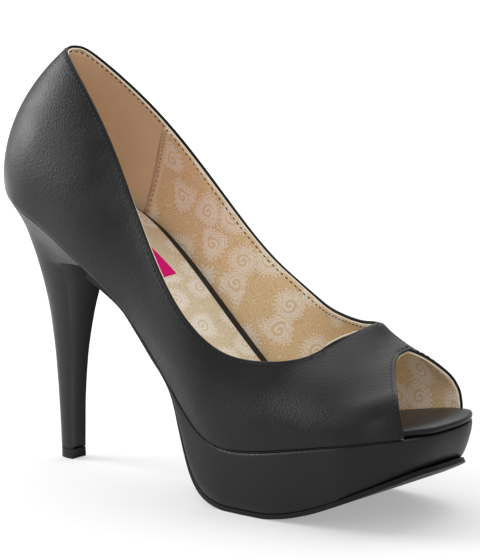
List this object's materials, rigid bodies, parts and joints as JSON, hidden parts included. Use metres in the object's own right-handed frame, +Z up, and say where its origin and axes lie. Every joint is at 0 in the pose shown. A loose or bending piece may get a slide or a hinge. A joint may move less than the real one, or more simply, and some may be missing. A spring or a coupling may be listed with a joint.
{
  "type": "peep toe platform pump",
  "caption": "Women's peep toe pump for the right foot, with a covered platform and a covered stiletto heel, in smooth black faux leather with a patterned lining.",
  "frame": {"origin": "middle of the shoe's box, on the floor plane that the heel lift and the forefoot rest on", "axes": "+X from heel to toe, +Y to the inner side of the right foot, +Z up"},
  "size_m": [0.2366, 0.0786, 0.185],
  "materials": {
    "upper_faux_leather": "smooth black faux leather, soft sheen",
    "heel_cover_faux_leather": "smooth black faux leather, stretched over the heel",
    "platform_cover_faux_leather": "smooth black faux leather",
    "insole_cover_black": "black covered board",
    "sock_lining_cream": "cream printed lining sheet",
    "outsole_rubber_black": "matte black rubber",
    "lift_rubber_black": "matte black hard rubber"
  },
  "bodies": {
    "root": {"upper": "upper_faux_leather", "heel": "heel_cover_faux_leather", "platform": "platform_cover_faux_leather", "insole": "insole_cover_black", "sock_lining": "sock_lining_cream", "outsole": "outsole_rubber_black", "heel_lift": "lift_rubber_black"}
  },
  "joints": []
}
